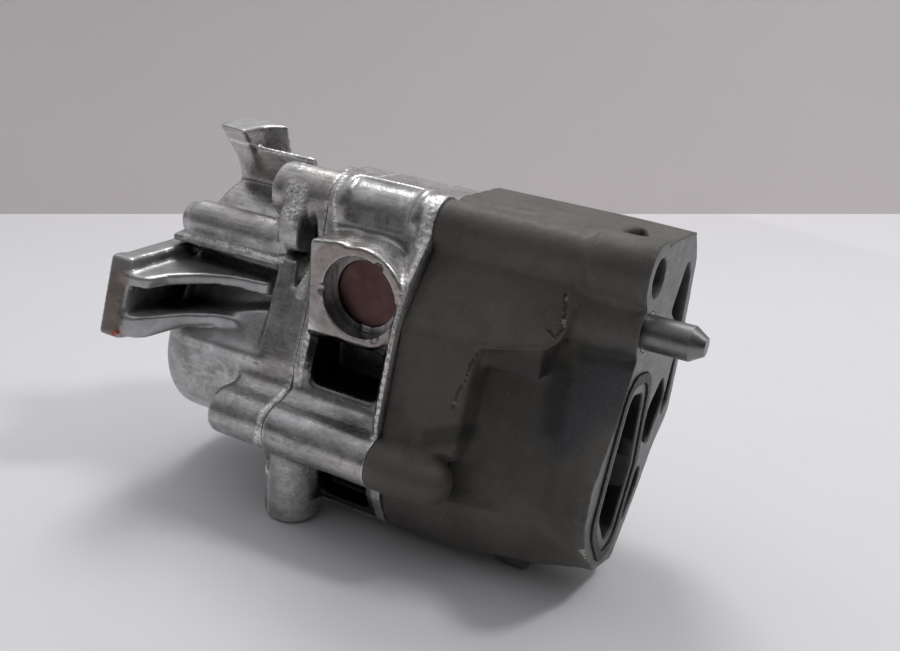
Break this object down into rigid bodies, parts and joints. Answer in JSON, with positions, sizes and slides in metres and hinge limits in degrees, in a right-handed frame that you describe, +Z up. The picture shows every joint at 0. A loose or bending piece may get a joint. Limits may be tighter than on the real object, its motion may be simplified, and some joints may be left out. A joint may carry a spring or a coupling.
{
  "type": "engine oil pump",
  "caption": "Spur gear oil pump in three bolted castings, with a mounting flange, long bolt column, locating pin, relief valve and ribbed bracket arm.",
  "frame": {"origin": "locating pin's axis on the mounting flange face", "axes": "+X out of the flange along the pin, +Z up, -Y the side of the relief valve port"},
  "size_m": [0.1445, 0.0676, 0.089],
  "materials": {
    "cast_aluminium": "raw die casting, satin, bright rubbed edges",
    "dark_casting": "dark blasted casting, matt",
    "gear_steel": "ground, oiled",
    "shaft_steel": "ground",
    "pin_steel": "dark, oiled",
    "screw_steel": "blackened",
    "spring_steel": "tempered, satin",
    "cap_steel": "smooth, brown oil film",
    "bush_bronze": "sintered bronze, satin",
    "seal_rubber": "moulded rubber, matt"
  },
  "bodies": {
    "housing": {"front_cover": "cast_aluminium", "pump_body": "cast_aluminium", "rear_housing": "dark_casting", "drive_front_bush": "bush_bronze", "driven_front_bush": "bush_bronze", "drive_rear_bush": "bush_bronze", "driven_rear_bush": "bush_bronze", "shaft_seal": "seal_rubber", "wear_plate": "gear_steel", "valve_spring": "spring_steel", "valve_cap": "cap_steel", "cap_circlip": "spring_steel", "locating_pin": "pin_steel", "assembly_screws": "screw_steel", "dowel_sleeves": "pin_steel", "cover_seal": "seal_rubber", "port_seals": "seal_rubber", "flange_seal": "seal_rubber"},
    "drive_rotor": {"drive_gear": "gear_steel", "drive_shaft": "shaft_steel", "drive_key": "shaft_steel"},
    "driven_rotor": {"driven_gear": "gear_steel", "driven_shaft": "shaft_steel"},
    "relief_piston": {"valve_piston": "shaft_steel"}
  },
  "joints": [
    {"name": "drive_spin", "type": "hinge", "parent": "housing", "child": "drive_rotor", "pos_m": [-0.093, 0.015, -0.012], "axis": [1, 0, 0], "continuous": true},
    {"name": "driven_spin", "type": "hinge", "parent": "housing", "child": "driven_rotor", "pos_m": [-0.093, 0.002, -0.03452], "axis": [1, 0, 0], "continuous": true},
    {"name": "valve_slide", "type": "slide", "parent": "housing", "child": "relief_piston", "axis": [0, -1, 0], "range_m": [0, 0.003], "stiffness_N_per_m": 2000, "springref_m": -0.005, "deforming": ["valve_spring"]}
  ],
  "couplings": [
    {"joint": "driven_spin", "follows": "drive_spin", "ratio": -1}
  ]
}
